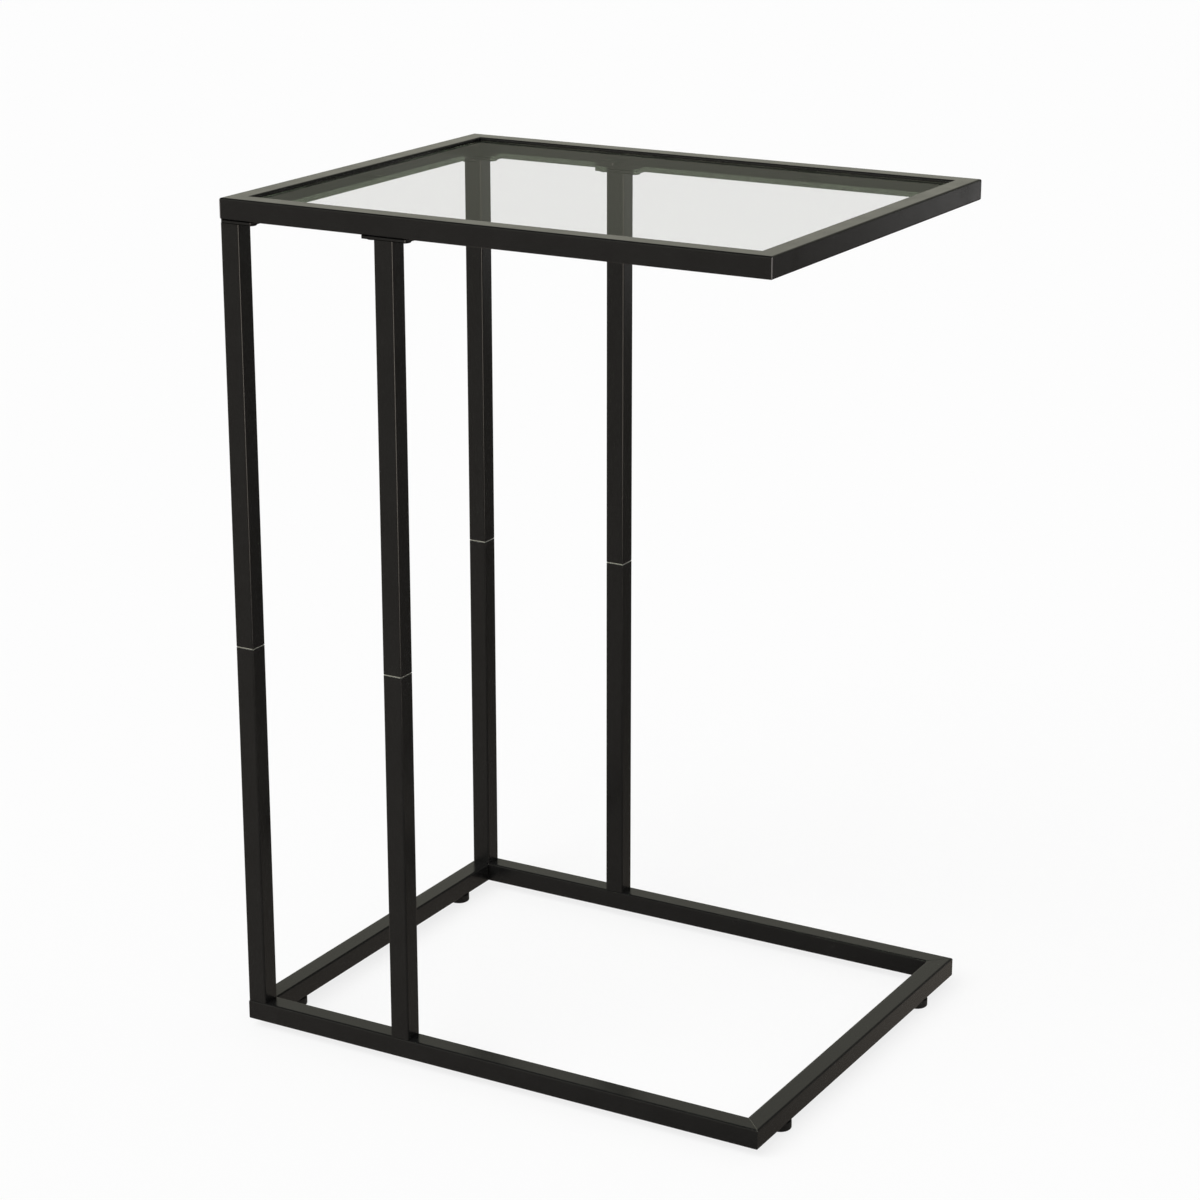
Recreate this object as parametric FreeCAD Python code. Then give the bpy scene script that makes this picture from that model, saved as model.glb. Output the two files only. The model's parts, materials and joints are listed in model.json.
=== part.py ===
import FreeCAD, Part
import math
import os

os.makedirs("parts", exist_ok=True)

# C-shaped side table: a base frame and a top frame of square tube, joined by four
# two-piece legs at the closed end, with a loose glass top and four screw-in feet.
# Millimetres. Origin on the floor under the middle of the table.
# X runs from the closed end to the open end, Y from the front to the back, Z up.

# Whole table
table_length = 450.0
table_depth = 350.0
table_height = 660.0

# Square tube that every rail and leg is cut from
tube_side = 16.0
tube_wall = 1.0
tube_inner_corner = 0.5
mitre_groove = 0.35             # depth of the joint line on the mitres of the base

# Legs
inner_leg_offset = 134.0        # closed end to the near face of the inner legs
lower_leg_length = 293.5        # base rail to the seam between the half legs
seam_chamfer = 0.5              # bevel on both tube ends at the seam

# Threaded blocks welded into the leg ends
plug_thickness = 8.0
plug_gap = 0.1                  # each side, inside the tube

# Studs that draw the half legs together
joint_stud_radius = 3.0
joint_stud_spare = 4.0          # past each block
joint_stud_chamfer = 0.6

# Flange plates on top of the legs
plate_thickness = 2.5
plate_overhang = 11.0           # past the leg, along the rail
plate_corner = 2.0

# Countersunk screws that hold the plates to the top rails
plate_screw_radius = 2.0
plate_screw_head_radius = 4.0
plate_screw_spare = 3.3         # past the nut
plate_screw_socket = 2.5        # across flats
plate_screw_socket_depth = 1.3

# Square nuts welded inside the top rails
plate_nut_side = 7.0
plate_nut_height = 3.2

# Button-head bolts that hold the legs on the base rails
leg_bolt_radius = 3.0
leg_bolt_spare = 7.0            # past the block in the leg
leg_bolt_head_radius = 5.25
leg_bolt_head_height = 3.3
leg_bolt_head_chamfer = 1.6
leg_bolt_socket = 4.0           # across flats
leg_bolt_socket_depth = 2.0
access_gap = 0.75               # round the bolt head, in the hole below it

# Glass top
glass_thickness = 5.0
glass_recess = 2.3              # below the rim of the top rails
glass_side_gap = 1.0
glass_corner = 3.0
glass_edge = 0.6                # ground bevel

# Tabs inside the top rails, and the clear bumpers that the glass lies on
tab_width = 14.0
tab_reach = 12.0
tab_thickness = 2.0
tab_corner = 3.0
tab_offset = 85.0               # long-rail tabs, from the middle of the rail
bumper_radius = 4.5
bumper_top_radius = 3.8
bumper_height = 1.5

# Screw-in feet under the end rails of the base
foot_inset = 52.5               # outer face of the long rails to the foot's axis
pad_radius = 8.75
pad_height = 6.5
pad_round = 1.2
pad_top_chamfer = 0.4
pad_sole = 1.6                  # below the stud's flange
stud_radius = 3.0
stud_flange_radius = 5.0
stud_flange_thickness = 1.2
stud_top_gap = 2.0              # to the roof of the rail
stud_tip_chamfer = 0.6
foot_nut_height = 5.0

# Clearances
thread_gap = 0.05               # round a thread, in its nut
hole_gap = 0.3                  # round a screw, in a plain hole
flange_gap = 0.05               # round the stud's flange, in the pad
overrun = 2.0                   # of every cut past the face it leaves by

# Heights that follow from the sizes above
base_bottom = pad_height
base_top = base_bottom + tube_side
seam_z = base_top + lower_leg_length
top_bottom = table_height - tube_side
plate_bottom = top_bottom - plate_thickness
glass_top_z = table_height - glass_recess
glass_bottom_z = glass_top_z - glass_thickness
tab_top_z = glass_bottom_z - bumper_height

# Places that follow from the sizes above
tube_inner = tube_side - 2 * tube_wall
plug_side = tube_inner - 2 * plug_gap
foot_nut_side = tube_inner - 2 * tube_inner_corner      # clears the rounded corners of the bore
rail_x = (table_length - tube_side) / 2
rail_y = (table_depth - tube_side) / 2
inner_leg_x = inner_leg_offset + (tube_side - table_length) / 2
foot_y = table_depth / 2 - foot_inset
screw_reach = (tube_side + plate_overhang) / 2

sides = {"front": -1, "back": 1}
ends = {"closed_end": -1, "open_end": 1}
legs = {f"{side}_{place}": (x, y_sign * rail_y)
        for side, y_sign in sides.items()
        for place, x in (("corner", -rail_x), ("inner", inner_leg_x))}
feet = {f"{side}_{end}": (x_sign * rail_x, y_sign * foot_y)
        for side, y_sign in sides.items()
        for end, x_sign in ends.items()}

vec = FreeCAD.Vector
up = vec(0, 0, 1)


def at(shape, x, y, z=0, turn=0):
    placed = shape.copy()
    placed.rotate(vec(0, 0, 0), up, turn)
    placed.translate(vec(x, y, z))
    return placed


def rounded_rectangle(width, depth, radius):
    centre_x = width / 2 - radius
    centre_y = depth / 2 - radius
    centres = [(centre_x, centre_y), (-centre_x, centre_y), (-centre_x, -centre_y), (centre_x, -centre_y)]
    arcs = []
    for quarter, (x, y) in enumerate(centres):
        arcs.append(Part.makeCircle(radius, vec(x, y, 0), up, 90 * quarter, 90 * (quarter + 1)))
    edges = []
    for arc, following in zip(arcs, arcs[1:] + arcs[:1]):
        edges.append(arc)
        edges.append(Part.makeLine(arc.lastVertex().Point, following.firstVertex().Point))
    return Part.Wire(edges)


def rounded_plate(width, depth, thickness, radius):
    return Part.Face(rounded_rectangle(width, depth, radius)).extrude(up * thickness)


def square_tube(length):
    # stands on the origin, with its bore open at both ends
    outer = rounded_plate(tube_side, tube_side, length, tube_inner_corner + tube_wall)
    bore = rounded_plate(tube_inner, tube_inner, length + 2 * overrun, tube_inner_corner)
    return outer.cut(at(bore, 0, 0, -overrun))


def edges_at(shape, z, reach):
    # edges that lie at height z, further than reach from the Z axis along X or Y
    found = []
    for edge in shape.Edges:
        box = edge.BoundBox
        level = abs(box.ZMin - z) + abs(box.ZMax - z) < Part.Precision.confusion()
        middle = edge.valueAt((edge.FirstParameter + edge.LastParameter) / 2)
        if level and max(abs(middle.x), abs(middle.y)) > reach:
            found.append(edge)
    return found


def hexagon_prism(across_flats, height):
    radius = across_flats / math.sqrt(3)
    corners = [vec(radius * math.cos(math.radians(a)), radius * math.sin(math.radians(a)), 0)
               for a in range(0, 361, 60)]
    return Part.Face(Part.makePolygon(corners)).extrude(up * height)


# Rails

def mitred_rail(length):
    # lies along X about the origin, long face to the front, ends cut at 45 degrees
    tube = at(square_tube(length), 0, 0, -length / 2)
    tube.rotate(vec(0, 0, 0), vec(0, 1, 0), 90)
    half = length / 2
    front = -tube_side / 2 - overrun
    back = tube_side / 2 + overrun
    near = half + overrun
    far = half - tube_side - overrun
    outline = [vec(-near, front, 0), vec(near, front, 0), vec(far, back, 0), vec(-far, back, 0),
               vec(-near, front, 0)]
    wedge = Part.Face(Part.makePolygon(outline)).extrude(up * (tube_side + 2 * overrun))
    return tube.common(at(wedge, 0, 0, -tube_side / 2 - overrun))


def rail_frame(centre_z, cutters):
    long_rail = mitred_rail(table_length)
    end_rail = mitred_rail(table_depth)
    rails = {
        "front": at(long_rail, 0, -rail_y, centre_z),
        "back": at(long_rail, 0, rail_y, centre_z, 180),
        "closed_end": at(end_rail, -rail_x, 0, centre_z, -90),
        "open_end": at(end_rail, rail_x, 0, centre_z, 90),
    }
    return {name: rail.cut(cutters) for name, rail in rails.items()}


def plate_screw_places():
    # two for each leg: along the long rail, and at a corner also along the end rail
    places = []
    for x, y in legs.values():
        places.append((x + screw_reach, y))
        if x == inner_leg_x:
            places.append((x - screw_reach, y))
        else:
            places.append((x, y - math.copysign(screw_reach, y)))
    return places


def top_rails():
    hole = Part.makeCylinder(plate_screw_radius + hole_gap, tube_wall + 2 * overrun)
    holes = [at(hole, x, y, top_bottom - overrun) for x, y in plate_screw_places()]
    return rail_frame(top_bottom + tube_side / 2, holes)


def mitre_grooves():
    # a V along each mitre, on the top and the underside of the base
    side = mitre_groove * math.sqrt(2)
    length = tube_side * math.sqrt(2) + 2 * overrun
    bar = at(Part.makeBox(length, side, side), -length / 2, -side / 2, -side / 2)
    bar.rotate(vec(0, 0, 0), vec(1, 0, 0), 45)
    grooves = []
    for x_sign in ends.values():
        for y_sign in sides.values():
            for z in (base_bottom, base_top):
                grooves.append(at(bar, x_sign * rail_x, y_sign * rail_y, z, 45 * x_sign * y_sign))
    return grooves


def base_rails():
    # bolt holes in the roof, wide holes under them for the key, and holes for the foot studs
    bolt_hole = Part.makeCylinder(leg_bolt_radius + hole_gap, tube_wall + 2 * overrun)
    access_hole = Part.makeCylinder(leg_bolt_head_radius + access_gap, tube_wall + 2 * overrun)
    stud_hole = Part.makeCylinder(stud_radius + hole_gap, tube_wall + 2 * overrun)
    cutters = mitre_grooves()
    for x, y in legs.values():
        cutters.append(at(bolt_hole, x, y, base_top - tube_wall - overrun))
        cutters.append(at(access_hole, x, y, base_bottom - overrun))
    for x, y in feet.values():
        cutters.append(at(stud_hole, x, y, base_bottom - overrun))
    return rail_frame(base_bottom + tube_side / 2, cutters)


# Legs

def lower_leg():
    tube = square_tube(lower_leg_length)
    return tube.makeChamfer(seam_chamfer, edges_at(tube, lower_leg_length, tube_inner / 2 + tube_wall / 2))


def upper_leg():
    tube = square_tube(plate_bottom - seam_z)
    return tube.makeChamfer(seam_chamfer, edges_at(tube, 0, tube_inner / 2 + tube_wall / 2))


def threaded_block(side, thickness, thread_radius):
    block = rounded_plate(side, side, thickness, tube_inner_corner)
    bore = Part.makeCylinder(thread_radius + thread_gap, thickness + 2 * overrun)
    return block.cut(at(bore, 0, 0, -overrun))


def joint_stud():
    length = 2 * (plug_thickness + joint_stud_spare)
    stud = Part.makeCylinder(joint_stud_radius, length)
    ends_of_stud = edges_at(stud, 0, 0) + edges_at(stud, length, 0)
    return at(stud.makeChamfer(joint_stud_chamfer, ends_of_stud), 0, 0, -length / 2)


# Leg plates and their screws

def plate_screw():
    # head down, its flat face on the origin
    cone = plate_screw_head_radius - plate_screw_radius
    length = plate_thickness + tube_wall + plate_nut_height + plate_screw_spare
    head = Part.makeCone(plate_screw_head_radius, plate_screw_radius, cone)
    shank = Part.makeCylinder(plate_screw_radius, length)
    socket = hexagon_prism(plate_screw_socket, plate_screw_socket_depth + overrun)
    return head.fuse(shank).removeSplitter().cut(at(socket, 0, 0, -overrun))


def plate_hole():
    radius = plate_screw_radius + hole_gap
    sink_radius = plate_screw_head_radius + hole_gap
    hole = Part.makeCylinder(radius, plate_thickness + 2 * overrun)
    sink = Part.makeCone(sink_radius, radius, sink_radius - radius)
    lead_in = Part.makeCylinder(sink_radius, overrun)
    return at(hole, 0, 0, -overrun).fuse([sink, at(lead_in, 0, 0, -overrun)])


def inner_leg_plate():
    plate = rounded_plate(tube_side + 2 * plate_overhang, tube_side, plate_thickness, plate_corner)
    return plate.cut([at(plate_hole(), reach, 0) for reach in (-screw_reach, screw_reach)])


def corner_leg_plate(y_sign):
    # an arm along each of the two rails, both inward from the corner
    arm = tube_side + plate_overhang
    along_x = rounded_plate(arm, tube_side, plate_thickness, plate_corner)
    along_y = rounded_plate(tube_side, arm, plate_thickness, plate_corner)
    inward = -y_sign * plate_overhang / 2
    plate = at(along_x, plate_overhang / 2, 0).fuse(at(along_y, 0, inward)).removeSplitter()
    return plate.cut([at(plate_hole(), screw_reach, 0), at(plate_hole(), 0, -y_sign * screw_reach)])


def plate_nut():
    nut = Part.makeBox(plate_nut_side, plate_nut_side, plate_nut_height)
    nut = at(nut, -plate_nut_side / 2, -plate_nut_side / 2)
    bore = Part.makeCylinder(plate_screw_radius + thread_gap, plate_nut_height + 2 * overrun)
    return nut.cut(at(bore, 0, 0, -overrun))


# Bolts under the legs

def leg_bolt():
    # head below the origin, shank above it
    head = Part.makeCylinder(leg_bolt_head_radius, leg_bolt_head_height)
    head = head.makeChamfer(leg_bolt_head_chamfer, edges_at(head, 0, 0))
    shank = Part.makeCylinder(leg_bolt_radius, tube_wall + plug_thickness + leg_bolt_spare)
    bolt = at(head, 0, 0, -leg_bolt_head_height).fuse(shank)
    socket = hexagon_prism(leg_bolt_socket, leg_bolt_socket_depth + overrun)
    return bolt.cut(at(socket, 0, 0, -leg_bolt_head_height - overrun))


# Glass and what carries it

def glass_pane():
    width = table_length - 2 * (tube_side + glass_side_gap)
    depth = table_depth - 2 * (tube_side + glass_side_gap)
    pane = rounded_plate(width, depth, glass_thickness, glass_corner)
    rims = edges_at(pane, 0, 0) + edges_at(pane, glass_thickness, 0)
    return pane.makeChamfer(glass_edge, rims)


def glass_tab():
    # welded by its back edge at the origin, reaching along +Y
    tab = Part.makeBox(tab_width, tab_reach, tab_thickness)
    tab = at(tab, -tab_width / 2, 0, -tab_thickness)
    free_corners = []
    for edge in tab.Edges:
        box = edge.BoundBox
        if box.ZLength > tab_thickness / 2 and box.YMin > tab_reach / 2:
            free_corners.append(edge)
    return tab.makeFillet(tab_corner, free_corners)


def glass_bumper():
    return Part.makeCone(bumper_radius, bumper_top_radius, bumper_height)


def tab_places():
    # x, y on the inner face of a rail, and the turn that points the tab inward
    face_x = rail_x - tube_side / 2
    face_y = rail_y - tube_side / 2
    places = {}
    for end, x_sign in ends.items():
        places[f"front_{end}"] = (x_sign * tab_offset, -face_y, 0)
        places[f"back_{end}"] = (x_sign * tab_offset, face_y, 180)
        places[end] = (x_sign * face_x, 0, 90 * x_sign)
    return places


# Feet

def foot_pad():
    pad = Part.makeCylinder(pad_radius, pad_height)
    pad = pad.makeFillet(pad_round, edges_at(pad, 0, 0))
    pad = pad.makeChamfer(pad_top_chamfer, edges_at(pad, pad_height, 0))
    flange_room = Part.makeCylinder(stud_flange_radius + flange_gap, stud_flange_thickness + 2 * flange_gap)
    neck = Part.makeCylinder(stud_radius + flange_gap, pad_height)
    return pad.cut([at(flange_room, 0, 0, pad_sole - flange_gap), at(neck, 0, 0, pad_sole)])


def foot_stud():
    top = base_top - tube_wall - stud_top_gap
    shank = Part.makeCylinder(stud_radius, top - pad_sole)
    shank = shank.makeChamfer(stud_tip_chamfer, edges_at(shank, top - pad_sole, 0))
    flange = Part.makeCylinder(stud_flange_radius, stud_flange_thickness)
    return at(shank.fuse(flange), 0, 0, pad_sole)


def group(shape, places, z):
    return Part.makeCompound([at(shape, x, y, z) for x, y in places])


def build():
    nodes = {}
    for name, rail in top_rails().items():
        nodes[f"top_rail_{name}"] = rail
    for name, rail in base_rails().items():
        nodes[f"base_rail_{name}"] = rail
    for name, (x, y) in legs.items():
        nodes[f"lower_leg_{name}"] = at(lower_leg(), x, y, base_top)
        nodes[f"upper_leg_{name}"] = at(upper_leg(), x, y, seam_z)
        plate = inner_leg_plate() if x == inner_leg_x else corner_leg_plate(math.copysign(1, y))
        nodes[f"leg_plate_{name}"] = at(plate, x, y, plate_bottom)
    plug = threaded_block(plug_side, plug_thickness, joint_stud_radius)
    foot_plug = threaded_block(plug_side, plug_thickness, leg_bolt_radius)
    nodes["lower_leg_foot_plugs"] = group(foot_plug, legs.values(), base_top)
    nodes["lower_leg_top_plugs"] = group(plug, legs.values(), seam_z - plug_thickness)
    nodes["upper_leg_plugs"] = group(plug, legs.values(), seam_z)
    nodes["leg_joint_studs"] = group(joint_stud(), legs.values(), seam_z)
    nodes["leg_bolts"] = group(leg_bolt(), legs.values(), base_top - tube_wall)
    nodes["plate_screws"] = group(plate_screw(), plate_screw_places(), plate_bottom)
    nodes["plate_nuts"] = group(plate_nut(), plate_screw_places(), top_bottom + tube_wall)
    nodes["glass_top"] = at(glass_pane(), 0, 0, glass_bottom_z)
    for name, (x, y, turn) in tab_places().items():
        nodes[f"glass_tab_{name}"] = at(glass_tab(), x, y, tab_top_z, turn)
        bumper = at(glass_bumper(), 0, tab_reach / 2)
        nodes[f"glass_bumper_{name}"] = at(bumper, x, y, tab_top_z, turn)
    for name, (x, y) in feet.items():
        nodes[f"foot_pad_{name}"] = at(foot_pad(), x, y)
        nodes[f"foot_stud_{name}"] = at(foot_stud(), x, y)
    foot_nut = threaded_block(foot_nut_side, foot_nut_height, stud_radius)
    nodes["foot_nuts"] = group(foot_nut, feet.values(), base_bottom + tube_wall)
    return nodes


for node, shape in build().items():
    shape.exportStep(f"parts/{node}.step")
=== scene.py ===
import json
import math

import bmesh
import bpy
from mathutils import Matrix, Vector


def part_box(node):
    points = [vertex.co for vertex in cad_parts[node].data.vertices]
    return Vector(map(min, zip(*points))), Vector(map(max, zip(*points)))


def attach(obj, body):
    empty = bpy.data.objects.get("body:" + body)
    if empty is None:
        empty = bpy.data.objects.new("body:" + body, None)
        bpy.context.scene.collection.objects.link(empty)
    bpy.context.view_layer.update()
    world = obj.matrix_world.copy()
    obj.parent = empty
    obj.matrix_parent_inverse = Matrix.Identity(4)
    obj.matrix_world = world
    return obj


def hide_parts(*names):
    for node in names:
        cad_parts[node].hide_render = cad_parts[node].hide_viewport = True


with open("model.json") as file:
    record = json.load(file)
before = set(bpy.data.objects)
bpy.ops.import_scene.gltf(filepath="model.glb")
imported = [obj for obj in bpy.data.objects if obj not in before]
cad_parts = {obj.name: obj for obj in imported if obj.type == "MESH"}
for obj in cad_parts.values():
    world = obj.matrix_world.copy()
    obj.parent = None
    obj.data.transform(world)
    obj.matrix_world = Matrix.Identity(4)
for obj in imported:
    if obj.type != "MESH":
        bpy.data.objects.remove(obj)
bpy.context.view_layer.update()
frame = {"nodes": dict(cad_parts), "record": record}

# C-shaped side table: black powder-coated square tube, a loose glass top, screw-in feet.
# Metres, in the part's own frame: X to the open end, Y to the back, Z up.

mm = 0.001
cadNodes = frame["nodes"]
slotOf = {row["node"]: row["material_slot"] for row in frame["record"]["subparts"]}
slotOf["plate_screws"] = "black_powder_coat"    # their heads show, and are black in the photograph
bodyOf = {node: body for body, members in frame["record"]["behaviour"]["bodies"].items() for node in members}


def middleOf(node):
    low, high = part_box(node)
    return ((low + high) / 2).xy


def halfLengthOf(node):
    low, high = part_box(node)
    return (high.x - low.x) / 2


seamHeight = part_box("upper_leg_front_corner")[0].z
# |x| - |y| along every mitre, and |x| + |y| at the upright corners of the top
mitreShift = middleOf("base_rail_open_end").x - middleOf("base_rail_back").y
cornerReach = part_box("top_rail_open_end")[1].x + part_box("top_rail_back")[1].y
baseLow, baseHigh = (corner.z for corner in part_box("base_rail_open_end"))
baseMiddle, baseHalf = (baseLow + baseHigh) / 2, (baseHigh - baseLow) / 2
plateLow, plateHigh = (corner.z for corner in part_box("leg_plate_front_inner"))
plateMiddle, plateHalf = (plateLow + plateHigh) / 2, (plateHigh - plateLow) / 2


# Shader helpers

def addNode(tree, kind, settings=None, **links):
    # links: input name, with _ for a space, or i and its number, to a socket or a plain value
    node = tree.nodes.new(kind)
    for key, value in (settings or {}).items():
        setattr(node, key, value)
    for key, value in links.items():
        numbered = key[0] == "i" and key[1:].isdigit()
        socket = node.inputs[int(key[1:]) if numbered else key.replace("_", " ")]
        if isinstance(value, bpy.types.NodeSocket):
            tree.links.new(value, socket)
        else:
            socket.default_value = value
    return node


def newMaterial(name):
    material = bpy.data.materials.new(name)
    material.use_nodes = True
    material.node_tree.nodes.clear()
    return material, material.node_tree


def maths(tree, operation, a, b=0.0):
    return addNode(tree, "ShaderNodeMath", {"operation": operation}, i0=a, i1=b).outputs[0]


def axesOf(tree, coordinate):
    source = addNode(tree, "ShaderNodeTexCoord").outputs[coordinate]
    return addNode(tree, "ShaderNodeSeparateXYZ", Vector=source).outputs


# Fine orange-peel of a sprayed coat, a moulded skin or a plated one
grainLook = {"grainDetail": 2.0, "cloudDetail": 3.0, "grainShare": 0.4, "cloudShare": 0.6,
             "roughSpan": (0.3, 0.7)}


def makeCoatGrain():
    group = bpy.data.node_groups.new("coatGrain", "ShaderNodeTree")
    for name, kind in (("Grain Scale", "NodeSocketFloat"), ("Cloud Scale", "NodeSocketFloat"),
                       ("Rough Low", "NodeSocketFloat"), ("Rough High", "NodeSocketFloat"),
                       ("Dark", "NodeSocketColor"), ("Light", "NodeSocketColor")):
        group.interface.new_socket(name, in_out="INPUT", socket_type=kind)
    for name, kind in (("Colour", "NodeSocketColor"), ("Roughness", "NodeSocketFloat"),
                       ("Height", "NodeSocketFloat")):
        group.interface.new_socket(name, in_out="OUTPUT", socket_type=kind)
    given = group.nodes.new("NodeGroupInput")
    place = addNode(group, "ShaderNodeTexCoord").outputs["Object"]
    grain = addNode(group, "ShaderNodeTexNoise", Vector=place, Scale=given.outputs["Grain Scale"],
                    Detail=grainLook["grainDetail"])
    cloud = addNode(group, "ShaderNodeTexNoise", Vector=place, Scale=given.outputs["Cloud Scale"],
                    Detail=grainLook["cloudDetail"])
    colour = addNode(group, "ShaderNodeMix", {"data_type": "RGBA"}, i0=cloud.outputs["Fac"],
                     i6=given.outputs["Dark"], i7=given.outputs["Light"])
    blend = maths(group, "ADD", maths(group, "MULTIPLY", cloud.outputs["Fac"], grainLook["cloudShare"]),
                  maths(group, "MULTIPLY", grain.outputs["Fac"], grainLook["grainShare"]))
    spanLow, spanHigh = grainLook["roughSpan"]
    rough = addNode(group, "ShaderNodeMapRange", Value=blend, From_Min=spanLow, From_Max=spanHigh,
                    To_Min=given.outputs["Rough Low"], To_Max=given.outputs["Rough High"])
    out = group.nodes.new("NodeGroupOutput")
    group.links.new(colour.outputs[2], out.inputs["Colour"])
    group.links.new(rough.outputs["Result"], out.inputs["Roughness"])
    group.links.new(grain.outputs["Fac"], out.inputs["Height"])
    return group


coatGrain = makeCoatGrain()


def placeGrain(tree, look):
    return addNode(tree, "ShaderNodeGroup", {"node_tree": coatGrain}, Grain_Scale=look["grainScale"],
                   Cloud_Scale=look["cloudScale"], Rough_Low=look["roughLow"], Rough_High=look["roughHigh"],
                   Dark=(*look["dark"], 1), Light=(*look["light"], 1)).outputs


# Satin powder coat
coatLook = {"dark": (0.0060, 0.0060, 0.0061), "light": (0.0100, 0.0099, 0.0096), "grainScale": 1500.0,
            "cloudScale": 45.0, "roughLow": 0.18, "roughHigh": 0.28, "grainDepth": 0.02 * mm, "bump": 0.35}

# Moulded nylon of the feet
nylonLook = {"dark": (0.0085, 0.0085, 0.0088), "light": (0.014, 0.0138, 0.0135), "grainScale": 2600.0,
             "cloudScale": 150.0, "roughLow": 0.42, "roughHigh": 0.58, "grainDepth": 0.015 * mm, "bump": 0.5}


def makeBlack(name, look):
    material, tree = newMaterial(name)
    grain = placeGrain(tree, look)
    bump = addNode(tree, "ShaderNodeBump", Height=grain["Height"], Strength=look["bump"],
                   Distance=look["grainDepth"])
    skin = addNode(tree, "ShaderNodeBsdfPrincipled", Base_Color=grain["Colour"], Roughness=grain["Roughness"],
                   Normal=bump.outputs[0])
    addNode(tree, "ShaderNodeOutputMaterial", Surface=skin.outputs[0])
    return material


# The same coat with a line in it: pale bare metal at the seams of the legs, a grey painted highlight at the
# mitres of the base and the corners of the top, and a painted dark shadow where a leg's plate meets the leg
# and the rail
seamLook = {"halfWidth": 0.48 * mm, "soft": 0.12 * mm, "line": (0.88, 0.88, 0.86), "lineRough": 0.3}
# painted highlight: a grey metallic line along the mitres of the base
mitreHighlightLook = {"halfWidth": 0.36 * mm, "soft": 0.12 * mm, "line": (0.30, 0.30, 0.285), "lineRough": 0.4,
             "inset": 0.6 * mm}
# painted highlight: a pale metallic line down the upright corners of the top, where the rounded corner
# mirrors light
cornerHighlightLook = {"halfWidth": 0.7 * mm, "soft": 0.2 * mm, "line": (0.5, 0.49, 0.52), "lineRough": 0.4}
# painted shadow: a near-black line along the plate's edges, where it meets the rail above and the leg below
plateShadowLook = {"halfWidth": 0.5 * mm, "soft": 0.15 * mm, "line": (0.002, 0.002, 0.002), "lineRough": 0.5}


def offsetFrom(height):
    return lambda tree, place: maths(tree, "ABSOLUTE", maths(tree, "SUBTRACT", place["Z"], height))


def mitreOffset(tree, place):
    # the painted highlight line keeps to the top and the underside of the base
    across = maths(tree, "SUBTRACT", maths(tree, "ABSOLUTE", place["X"]), maths(tree, "ABSOLUTE", place["Y"]))
    along = maths(tree, "ABSOLUTE", maths(tree, "SUBTRACT", across, mitreShift))
    inside = maths(tree, "SUBTRACT", baseHalf - mitreHighlightLook["inset"], offsetFrom(baseMiddle)(tree, place))
    return maths(tree, "MAXIMUM", maths(tree, "DIVIDE", along, math.sqrt(2)), inside)


def cornerOffset(tree, place):
    # distance in from the upright corners of the top, where the highlight is painted
    reach = maths(tree, "ADD", maths(tree, "ABSOLUTE", place["X"]), maths(tree, "ABSOLUTE", place["Y"]))
    return maths(tree, "SUBTRACT", cornerReach, reach)


def plateOffset(tree, place):
    # to the nearer edge on the sides of a plate, where the painted shadow line lies, and no line on its faces
    edge = maths(tree, "SUBTRACT", plateHalf, offsetFrom(plateMiddle)(tree, place))
    upright = maths(tree, "ABSOLUTE", axesOf(tree, "Normal")["Z"])
    return maths(tree, "MAXIMUM", edge, maths(tree, "MULTIPLY", upright, plateHalf))


def makeLinedCoat(name, look, offsetOf):
    material, tree = newMaterial(name)
    grain = placeGrain(tree, coatLook)
    line = addNode(tree, "ShaderNodeMapRange", Value=offsetOf(tree, axesOf(tree, "Object")),
                   From_Min=look["halfWidth"], From_Max=look["halfWidth"] - look["soft"]).outputs["Result"]
    colour = addNode(tree, "ShaderNodeMix", {"data_type": "RGBA"}, i0=line, i6=grain["Colour"],
                     i7=(*look["line"], 1))
    rough = addNode(tree, "ShaderNodeMix", {"data_type": "FLOAT"}, i0=line, i2=grain["Roughness"],
                    i3=look["lineRough"])
    bump = addNode(tree, "ShaderNodeBump", Height=grain["Height"], Strength=coatLook["bump"],
                   Distance=coatLook["grainDepth"])
    skin = addNode(tree, "ShaderNodeBsdfPrincipled", Base_Color=colour.outputs[2], Roughness=rough.outputs[0],
                   Metallic=line, Normal=bump.outputs[0])
    addNode(tree, "ShaderNodeOutputMaterial", Surface=skin.outputs[0])
    return material


# Clear float glass, a little green and hazy: part of the light goes straight on, the rest bends and mirrors
glassLook = {"tint": (0.72, 0.90, 0.62), "straight": (0.931, 0.922, 0.932), "clear": 0.80, "ior": 1.48,
             "rough": 0.0, "through": 0.95}

# Clear soft silicone of the bumpers
siliconeLook = {"tint": (0.86, 0.88, 0.86), "straight": (0.94, 0.95, 0.94), "clear": 0.55, "ior": 1.41,
                "rough": 0.12, "through": 1.0}


def makeClear(name, look):
    material, tree = newMaterial(name)
    body = addNode(tree, "ShaderNodeBsdfPrincipled", Base_Color=(*look["tint"], 1), Roughness=look["rough"],
                   IOR=look["ior"], Transmission_Weight=look["through"])
    straight = addNode(tree, "ShaderNodeBsdfTransparent", Color=(*look["straight"], 1))
    ray = addNode(tree, "ShaderNodeLightPath").outputs
    leaving = addNode(tree, "ShaderNodeNewGeometry").outputs["Backfacing"]
    # a ray leaves the far face the way it came in: bent if it was bent, straight if not
    stayed = maths(tree, "SUBTRACT", 1.0, ray["Is Transmission Ray"])
    share = addNode(tree, "ShaderNodeMix", {"data_type": "FLOAT"}, i0=leaving, i2=look["clear"], i3=stayed)
    passing = maths(tree, "MAXIMUM", ray["Is Shadow Ray"], share.outputs[0])
    mix = addNode(tree, "ShaderNodeMixShader", i0=passing, i1=body.outputs[0], i2=straight.outputs[0])
    addNode(tree, "ShaderNodeOutputMaterial", Surface=mix.outputs[0])
    return material


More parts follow.
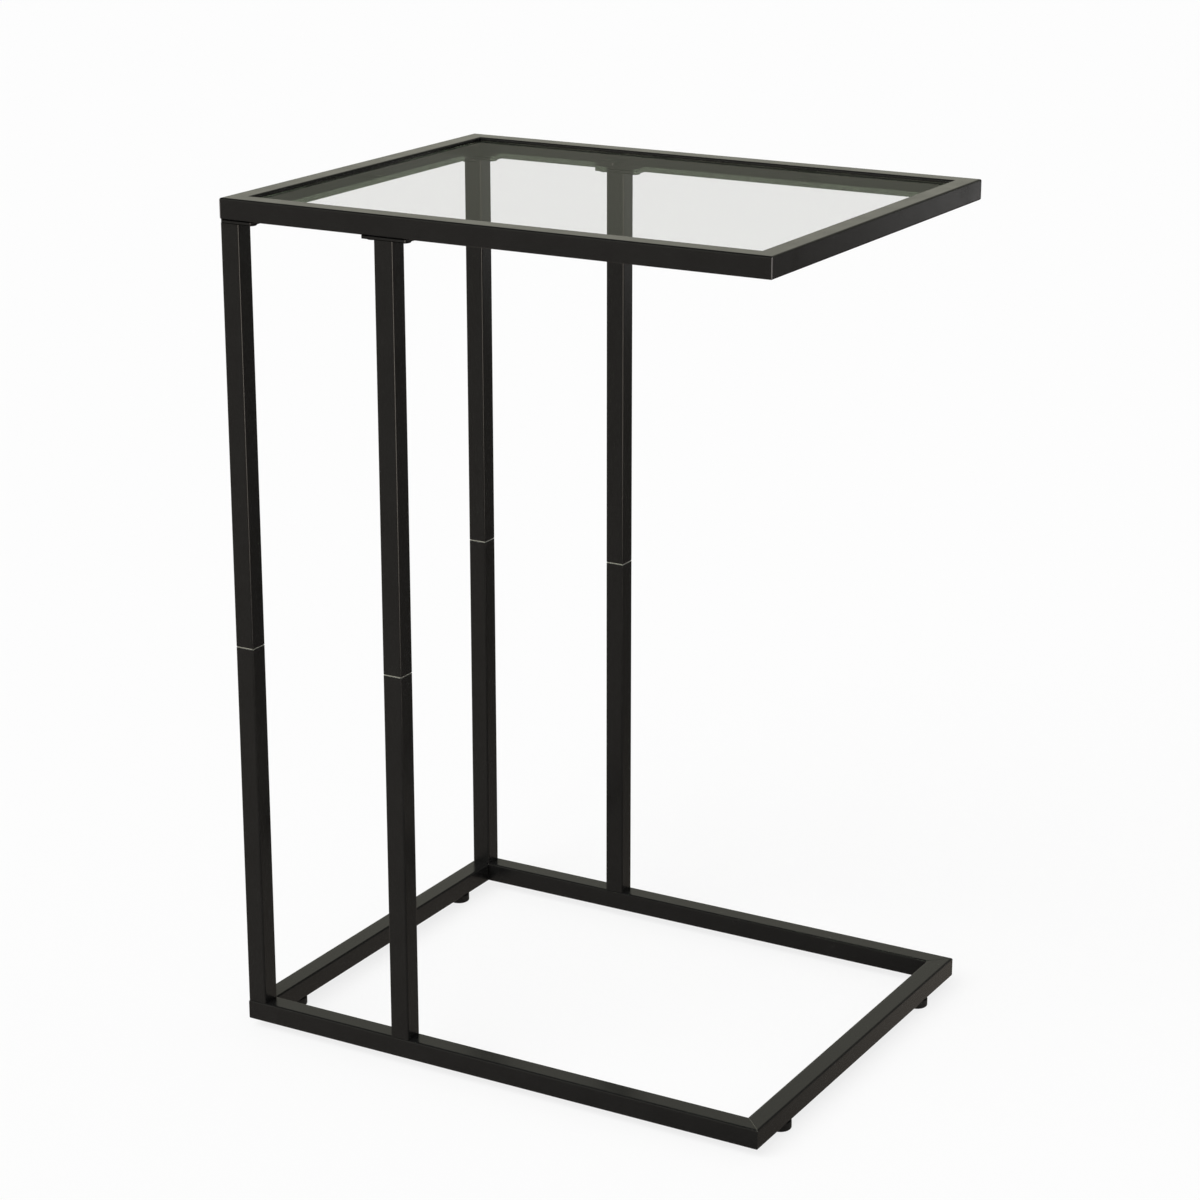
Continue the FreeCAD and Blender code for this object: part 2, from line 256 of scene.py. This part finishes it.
# Bright zinc plate on the hidden steel
zincLook = {"dark": (0.50, 0.51, 0.53), "light": (0.68, 0.69, 0.70), "grainScale": 2200.0,
            "cloudScale": 320.0, "roughLow": 0.26, "roughHigh": 0.42}


def makeZinc():
    material, tree = newMaterial("zincSteel")
    grain = placeGrain(tree, zincLook)
    skin = addNode(tree, "ShaderNodeBsdfPrincipled", Base_Color=grain["Colour"], Roughness=grain["Roughness"],
                   Metallic=1.0)
    addNode(tree, "ShaderNodeOutputMaterial", Surface=skin.outputs[0])
    return material


finishes = {"black_powder_coat": makeBlack("blackPowderCoat", coatLook),
            "clear_glass": makeClear("clearGlass", glassLook),
            "clear_silicone": makeClear("clearSilicone", siliconeLook),
            "black_nylon": makeBlack("blackNylon", nylonLook), "zinc_steel": makeZinc()}
legCoat = makeLinedCoat("blackPowderCoatLeg", seamLook, offsetFrom(seamHeight))
ownFinishes = {"upper_leg_front": legCoat, "upper_leg_back": legCoat, "lower_leg_front": legCoat,
               "lower_leg_back": legCoat,
               "base_rail": makeLinedCoat("blackPowderCoatBaseHighlight", mitreHighlightLook, mitreOffset),
               "top_rail": makeLinedCoat("blackPowderCoatTopHighlight", cornerHighlightLook, cornerOffset),
               "leg_plate": makeLinedCoat("blackPowderCoatPlateShadow", plateShadowLook, plateOffset)}


def finishOf(node):
    for start, finish in ownFinishes.items():
        if node.startswith(start):
            return finish
    return finishes[slotOf[node]]


for name, piece in cadNodes.items():
    piece.data.materials.clear()
    piece.data.materials.append(finishOf(name))
print("finishes on", len(cadNodes), "pieces")


# Screws, studs and bumpers

sharpAngle = 38.0
near = {"level": 1e-6, "profile": 1e-7, "thread": 1e-6, "cut": 1e-8}    # metres, far under any size here


def newPiece(name, shape, node):
    # turns a finished bmesh into a piece that stands for a CAD node
    bmesh.ops.recalc_face_normals(shape, faces=shape.faces)
    mesh = bpy.data.meshes.new(name)
    shape.to_mesh(mesh)
    shape.free()
    mesh.polygons.foreach_set("use_smooth", [True] * len(mesh.polygons))
    mesh.set_sharp_from_angle(angle=math.radians(sharpAngle))
    mesh.materials.append(finishOf(node))
    piece = bpy.data.objects.new(name, mesh)
    bpy.context.scene.collection.objects.link(piece)
    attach(piece, bodyOf[node])
    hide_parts(node)


def wholeOf(shape):
    return shape.verts[:] + shape.edges[:] + shape.faces[:]


def vertsOf(geometry):
    return [item for item in geometry if isinstance(item, bmesh.types.BMVert)]


def rimAt(shape, height):
    return [edge for edge in shape.edges
            if edge.is_boundary and all(abs(vert.co.z - height) < near["level"] for vert in edge.verts)]


def spinProfile(shape, profile, steps):
    # profile: reach from the Z axis and height, from one end to the other
    verts = [shape.verts.new((reach, 0, height)) for reach, height in profile]
    edges = [shape.edges.new(pair) for pair in zip(verts, verts[1:])]
    bmesh.ops.spin(shape, geom=verts + edges, cent=(0, 0, 0), axis=(0, 0, 1), angle=2 * math.pi, steps=steps,
                   use_merge=True)
    bmesh.ops.remove_doubles(shape, verts=shape.verts, dist=near["profile"])


def repeatAt(shape, places):
    # one copy for each place, and the first stays the original
    pattern = wholeOf(shape)
    for x, y in places[1:]:
        copied = bmesh.ops.duplicate(shape, geom=pattern)["geom"]
        bmesh.ops.translate(shape, verts=vertsOf(copied), vec=(x, y, 0))
    bmesh.ops.translate(shape, verts=vertsOf(pattern), vec=(*places[0], 0))


# Rolled thread: a tooth of the metric form, run up a helix
threadLook = {"steps": 24, "toothShare": 0.61, "crestShares": (0.44, 0.56), "spareTurns": 2}


def rollThread(shape, radius, pitch, low, high):
    root = radius - threadLook["toothShare"] * pitch
    crestLow, crestHigh = threadLook["crestShares"]
    start = low - threadLook["spareTurns"] * pitch
    tooth = ((root, 0), (radius, crestLow), (radius, crestHigh), (root, 1))
    verts = [shape.verts.new((reach, 0, start + share * pitch)) for reach, share in tooth]
    edges = [shape.edges.new(pair) for pair in zip(verts, verts[1:])]
    turns = math.ceil((high - start) / pitch) + 1
    bmesh.ops.spin(shape, geom=verts + edges, cent=(0, 0, 0), axis=(0, 0, 1), angle=2 * math.pi * turns,
                   steps=threadLook["steps"] * turns, dvec=(0, 0, pitch / threadLook["steps"]))
    bmesh.ops.remove_doubles(shape, verts=shape.verts, dist=near["thread"])
    for height, below in ((low, True), (high, False)):
        bmesh.ops.bisect_plane(shape, geom=wholeOf(shape), dist=near["cut"], plane_co=(0, 0, height),
                               plane_no=(0, 0, 1), clear_inner=below, clear_outer=not below)


def taperTip(shape, radius, tip, length):
    # bevels the thread towards its end at height tip; a negative length bevels a lower end
    bmesh.ops.bisect_plane(shape, geom=wholeOf(shape), dist=near["cut"], plane_co=(0, 0, tip - length),
                           plane_no=(0, 0, 1))
    for vert in shape.verts:
        past = (vert.co.z - tip + length) * math.copysign(1, length)
        reach = vert.co.xy.length
        if past > 0 and reach > radius - past:
            vert.co.xy *= (radius - past) / reach


def sinkSocket(shape, flats, depth, height):
    # hexagon socket in a downward face at this height, joined to the ring round it
    ring = rimAt(shape, height)
    corners = 6
    hexagon = bmesh.ops.create_circle(shape, segments=corners, radius=flats / math.sqrt(3))["verts"]
    bmesh.ops.translate(shape, verts=hexagon, vec=(0, 0, height))
    sides = list({edge for vert in hexagon for edge in vert.link_edges})
    bmesh.ops.subdivide_edges(shape, edges=sides, cuts=threadLook["steps"] // corners - 1)
    rim = [edge for edge in rimAt(shape, height) + [e for e in shape.edges if e.is_wire] if edge not in ring]
    bmesh.ops.bridge_loops(shape, edges=ring + rim)
    walls = bmesh.ops.extrude_edge_only(shape, edges=rim)["geom"]
    bmesh.ops.translate(shape, verts=vertsOf(walls), vec=(0, 0, depth))
    bmesh.ops.contextual_create(shape, geom=[item for item in walls if isinstance(item, bmesh.types.BMEdge)
                                             and item.is_boundary])


legNames = [f"{side}_{place}" for side in ("front", "back") for place in ("corner", "inner")]

# Studs across the seams of the legs
jointStud = {"radius": 3.0 * mm, "pitch": 1.0 * mm, "tip": 0.6 * mm}


def makeJointStuds():
    low, high = (corner.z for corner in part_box("leg_joint_studs"))
    shape = bmesh.new()
    rollThread(shape, jointStud["radius"], jointStud["pitch"], low, high)
    taperTip(shape, jointStud["radius"], high, jointStud["tip"])
    taperTip(shape, jointStud["radius"], low, -jointStud["tip"])
    for height in (low, high):
        bmesh.ops.contextual_create(shape, geom=rimAt(shape, height))
    repeatAt(shape, [middleOf(f"lower_leg_{name}") for name in legNames])
    newPiece("threaded_joint_studs", shape, "leg_joint_studs")


def makeButtonScrews(name, node, look, seat, places):
    # head below the seat, thread above it
    low, high = seat - look["headHeight"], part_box(node)[1].z
    shape = bmesh.new()
    rollThread(shape, look["radius"], look["pitch"], seat, high)
    taperTip(shape, look["radius"], high, look["tip"])
    bmesh.ops.contextual_create(shape, geom=rimAt(shape, high))
    profile = []
    for step in range(look["domeSteps"] + 1):
        turn = math.pi / 2 * step / look["domeSteps"]
        reach = look["flat"] + (look["headRadius"] - look["flat"]) * math.sin(turn)
        profile.append((reach, low + look["dome"] * (1 - math.cos(turn))))
    profile += [(look["headRadius"], seat), (look["radius"] + look["neck"], seat)]
    spinProfile(shape, profile, threadLook["steps"])
    bmesh.ops.bridge_loops(shape, edges=rimAt(shape, seat))
    sinkSocket(shape, look["socket"], look["socketDepth"], low)
    repeatAt(shape, places)
    newPiece(name, shape, node)


# Bolts up through the base rails into the legs
legBolt = {"radius": 3.0 * mm, "pitch": 1.0 * mm, "headRadius": 5.25 * mm, "headHeight": 3.3 * mm,
           "flat": 2.9 * mm, "dome": 2.0 * mm, "domeSteps": 5, "neck": 0.3 * mm, "socket": 4.0 * mm,
           "socketDepth": 2.0 * mm, "tip": 0.6 * mm}


def makeLegBolts():
    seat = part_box("leg_bolts")[0].z + legBolt["headHeight"]
    makeButtonScrews("threaded_leg_bolts", "leg_bolts", legBolt, seat,
                     [middleOf(f"lower_leg_{name}") for name in legNames])


# Screws up through the leg plates into the top rails, with low heads that stand out under the plates
plateScrew = {"radius": 2.0 * mm, "pitch": 0.7 * mm, "headRadius": 4.7 * mm, "headHeight": 1.5 * mm,
              "flat": 2.1 * mm, "dome": 0.8 * mm, "domeSteps": 5, "neck": 0.2 * mm, "socket": 2.5 * mm,
              "socketDepth": 1.1 * mm, "tip": 0.4 * mm}


def plateScrewPlaces():
    # two for each leg: along the long rail, and at a corner also along the end rail
    reach = (halfLengthOf("lower_leg_front_inner") + halfLengthOf("leg_plate_front_inner")) / 2
    places = []
    for name in legNames:
        x, y = middleOf(f"lower_leg_{name}")
        places.append((x + reach, y))
        places.append((x - reach, y) if name.endswith("inner") else (x, y - math.copysign(reach, y)))
    return places


def makePlateScrews():
    makeButtonScrews("threaded_plate_screws", "plate_screws", plateScrew, plateLow, plateScrewPlaces())


# Studs of the feet, with the flange that the pad is moulded round
footStud = {"radius": 3.0 * mm, "pitch": 1.0 * mm, "flangeRadius": 5.0 * mm, "flangeHeight": 1.2 * mm,
            "neckRadius": 2.35 * mm, "sunk": 0.3 * mm, "tip": 0.6 * mm}


def makeFootStud(name):
    node = f"foot_stud_{name}"
    low, high = (corner.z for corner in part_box(node))
    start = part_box(f"foot_pad_{name}")[1].z - footStud["sunk"]
    flangeTop = low + footStud["flangeHeight"]
    shape = bmesh.new()
    rollThread(shape, footStud["radius"], footStud["pitch"], start, high)
    taperTip(shape, footStud["radius"], high, footStud["tip"])
    bmesh.ops.contextual_create(shape, geom=rimAt(shape, high))
    profile = [(0, low), (footStud["flangeRadius"], low), (footStud["flangeRadius"], flangeTop),
               (footStud["neckRadius"], flangeTop), (footStud["neckRadius"], start)]
    spinProfile(shape, profile, threadLook["steps"])
    bmesh.ops.bridge_loops(shape, edges=rimAt(shape, start))
    repeatAt(shape, [middleOf(node)])
    newPiece(f"threaded_{node}", shape, node)


# Soft bumpers on the tabs, with a rolled upper edge
bumperLook = {"segments": 40, "slope": 0.7 * mm, "round": 0.45 * mm, "roundSteps": 4}


def makeBumper(node):
    low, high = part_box(node)
    radius = halfLengthOf(node)
    shape = bmesh.new()
    bmesh.ops.create_cone(shape, cap_ends=True, segments=bumperLook["segments"], radius1=radius,
                          radius2=radius - bumperLook["slope"], depth=high.z - low.z)
    rim = [edge for edge in shape.edges if min(vert.co.z for vert in edge.verts) > 0]
    bmesh.ops.bevel(shape, geom=rim, offset=bumperLook["round"], segments=bumperLook["roundSteps"],
                    profile=0.5, affect="EDGES", material=-1)
    bmesh.ops.translate(shape, verts=shape.verts, vec=(low + high) / 2)
    newPiece(f"rounded_{node}", shape, node)


makeJointStuds()
makeLegBolts()
makePlateScrews()
for node in cadNodes:
    if node.startswith("foot_stud_"):
        makeFootStud(node.removeprefix("foot_stud_"))
    if node.startswith("glass_bumper_"):
        makeBumper(node)
print("screws, studs and bumpers made")


# Pale floor, with what the coat mirrors of it
floorLook = {"size": 40.0, "colour": (0.92, 0.92, 0.92), "whiteShare": 0.8, "tint": (1.0, 0.9, 0.78),
             "near": 0.27, "far": 0.09, "fadeSpan": 0.35, "fadeTo": (0.95, 0.3, 0.0), "patchLevel": 0.22,
             "patchX": (0.195, 0.22), "patchY": (-0.17, 0.2), "patchEnd": (0.25, 0.34), "glowLevel": 4.0,
             "glowAim": (0.85, -0.53, 0.0), "glowAcross": (0.53, 0.85, 0.0), "glowSpan": (1.0, 1.3),
             "glowSlope": (0.35, 0.2)}


def dotWith(tree, place, direction):
    node = addNode(tree, "ShaderNodeVectorMath", {"operation": "DOT_PRODUCT"}, i0=place, i1=direction)
    return node.outputs["Value"]


def seenBy(tree):
    # rays that show the stage itself, and rays that only mirror it
    ray = addNode(tree, "ShaderNodeLightPath").outputs
    seen = maths(tree, "MAXIMUM", ray["Is Camera Ray"], ray["Is Transmission Ray"])
    return seen, maths(tree, "MULTIPLY", ray["Is Glossy Ray"], maths(tree, "SUBTRACT", 1.0, seen))


def rampOver(tree, value, span, top=1.0):
    # rises from zero to top over the span
    return addNode(tree, "ShaderNodeMapRange", Value=value, From_Min=span[0], From_Max=span[1],
                   To_Max=top).outputs["Result"]


def makeFloor():
    grid = bmesh.new()
    bmesh.ops.create_grid(grid, x_segments=1, y_segments=1, size=floorLook["size"])
    mesh = bpy.data.meshes.new("floor")
    grid.to_mesh(mesh)
    grid.free()
    floor = bpy.data.objects.new("floor", mesh)
    bpy.context.scene.collection.objects.link(floor)
    material, tree = newMaterial("paleFloor")
    seen, glossOnly = seenBy(tree)
    pale = addNode(tree, "ShaderNodeBsdfDiffuse", Color=(*floorLook["colour"], 1))
    white = addNode(tree, "ShaderNodeEmission", Strength=1.0)
    # what the coat mirrors: a floor that falls off behind the table
    place = addNode(tree, "ShaderNodeTexCoord").outputs["Object"]
    along = dotWith(tree, place, floorLook["fadeTo"])
    level = addNode(tree, "ShaderNodeMapRange", Value=along, From_Min=-floorLook["fadeSpan"],
                    From_Max=floorLook["fadeSpan"], To_Min=floorLook["near"], To_Max=floorLook["far"])
    # and a lighter patch past the back of the open end
    at = addNode(tree, "ShaderNodeSeparateXYZ", Vector=place).outputs
    patch = maths(tree, "MULTIPLY", rampOver(tree, at["X"], floorLook["patchX"], floorLook["patchLevel"]),
                  rampOver(tree, at["Y"], floorLook["patchY"]))
    patch = maths(tree, "MULTIPLY", patch, rampOver(tree, at["Y"], floorLook["patchEnd"][::-1]))
    # and a bright wedge far out to the front right, which only the rounded corners higher up mirror
    outward = dotWith(tree, place, floorLook["glowAim"])
    across = dotWith(tree, place, floorLook["glowAcross"])
    slope = maths(tree, "ABSOLUTE", maths(tree, "DIVIDE", across, outward))
    glow = maths(tree, "MULTIPLY", rampOver(tree, outward, floorLook["glowSpan"], floorLook["glowLevel"]),
                 rampOver(tree, slope, floorLook["glowSlope"]))
    mirrored = maths(tree, "ADD", maths(tree, "ADD", level.outputs["Result"], patch), glow)
    dim = addNode(tree, "ShaderNodeEmission", Color=(*floorLook["tint"], 1), Strength=mirrored)
    lit = addNode(tree, "ShaderNodeMixShader", i0=maths(tree, "MULTIPLY", seen, floorLook["whiteShare"]),
                  i1=pale.outputs[0], i2=white.outputs[0])
    upper = addNode(tree, "ShaderNodeMixShader", i0=glossOnly, i1=lit.outputs[0], i2=dim.outputs[0])
    # nothing hides the underside of the table from a view from below
    below = addNode(tree, "ShaderNodeNewGeometry").outputs["Backfacing"]
    through = addNode(tree, "ShaderNodeBsdfTransparent")
    whole = addNode(tree, "ShaderNodeMixShader", i0=below, i1=upper.outputs[0], i2=through.outputs[0])
    addNode(tree, "ShaderNodeOutputMaterial", Surface=whole.outputs[0])
    mesh.materials.append(material)


# Pale sky, with what the coat mirrors of it
skyLook = {"ambient": 0.5, "tint": (1.0, 0.99, 0.84), "rim": 0.70, "top": 0.39, "rimHeight": 0.45,
           "zenithLow": 0.47, "zenithHigh": 0.65, "zenithShare": 0.15, "shadeFrom": 0.0, "shadeTo": 0.35,
           "shadeShare": 0.2}


def makeWorld():
    world = bpy.data.worlds.new("studio")
    bpy.context.scene.world = world
    world.use_nodes = True
    tree = world.node_tree
    tree.nodes.clear()
    seen, glossOnly = seenBy(tree)
    aim = axesOf(tree, "Generated")
    # white at the horizon, dimmer higher up, dark overhead and towards the open end
    sky = addNode(tree, "ShaderNodeMapRange", {"interpolation_type": "SMOOTHSTEP"}, Value=aim["Z"],
                  From_Max=skyLook["rimHeight"], To_Min=skyLook["rim"], To_Max=skyLook["top"])
    zenith = addNode(tree, "ShaderNodeMapRange", {"interpolation_type": "SMOOTHSTEP"}, Value=aim["Z"],
                     From_Min=skyLook["zenithLow"], From_Max=skyLook["zenithHigh"], To_Min=1.0,
                     To_Max=skyLook["zenithShare"])
    shade = addNode(tree, "ShaderNodeMapRange", Value=aim["X"], From_Min=skyLook["shadeFrom"],
                    From_Max=skyLook["shadeTo"], To_Min=1.0, To_Max=skyLook["shadeShare"])
    overhead = maths(tree, "MULTIPLY", zenith.outputs["Result"], shade.outputs["Result"])
    plain = addNode(tree, "ShaderNodeMix", {"data_type": "FLOAT"}, i0=seen, i2=skyLook["ambient"], i3=1.0)
    strength = addNode(tree, "ShaderNodeMix", {"data_type": "FLOAT"}, i0=glossOnly, i2=plain.outputs[0],
                       i3=maths(tree, "MULTIPLY", sky.outputs["Result"], overhead))
    colour = addNode(tree, "ShaderNodeMix", {"data_type": "RGBA"}, i0=glossOnly, i6=(1, 1, 1, 1),
                     i7=(*skyLook["tint"], 1))
    dome = addNode(tree, "ShaderNodeBackground", Strength=strength.outputs[0], Color=colour.outputs[2])
    addNode(tree, "ShaderNodeOutputWorld", Surface=dome.outputs[0])


# Lamps
keyLamp = {"strength": 2.0, "angle": 50.0, "from": (-0.35, -0.75, 1.0)}
backPanel = {"place": (1.12, 2.6, 0.45), "aim": (0.2, 0.1, 0.4), "wide": 0.3, "high": 0.9, "watts": 0.75}


def addLamp(name, kind, turn, place=(0, 0, 0)):
    lamp = bpy.data.objects.new(name, bpy.data.lights.new(name, kind))
    lamp.location = place
    lamp.rotation_euler = turn.to_euler()
    lamp.visible_camera = False
    bpy.context.scene.collection.objects.link(lamp)
    return lamp.data


def makeLamps():
    key = addLamp("key", "SUN", Vector(keyLamp["from"]).to_track_quat("Z", "Y"))
    key.energy = keyLamp["strength"]
    key.angle = math.radians(keyLamp["angle"])
    bpy.data.objects["key"].visible_glossy = False    # no bright lines along the rounded edges
    turn = (Vector(backPanel["place"]) - Vector(backPanel["aim"])).to_track_quat("Z", "Y")
    soft = addLamp("backPanel", "AREA", turn, backPanel["place"])
    soft.shape = "RECTANGLE"
    soft.size = backPanel["wide"]
    soft.size_y = backPanel["high"]
    soft.energy = backPanel["watts"]


makeFloor()
makeWorld()
makeLamps()
print("studio ready")


# Camera at the photograph's viewing angle
camera = {"lens": 92.3, "place": (1.119, -1.968, 1.050), "turn": 29.75, "down": 17.4, "farthest": 100.0}


def makeCamera():
    data = bpy.data.cameras.new("camera")
    data.lens = camera["lens"]
    data.clip_end = camera["farthest"]
    eye = bpy.data.objects.new("camera", data)
    eye.location = camera["place"]
    eye.rotation_euler = (math.radians(90 - camera["down"]), 0, math.radians(camera["turn"]))
    bpy.context.scene.collection.objects.link(eye)
    bpy.context.scene.camera = eye


makeCamera()
bpy.context.scene.view_settings.view_transform = "Standard"
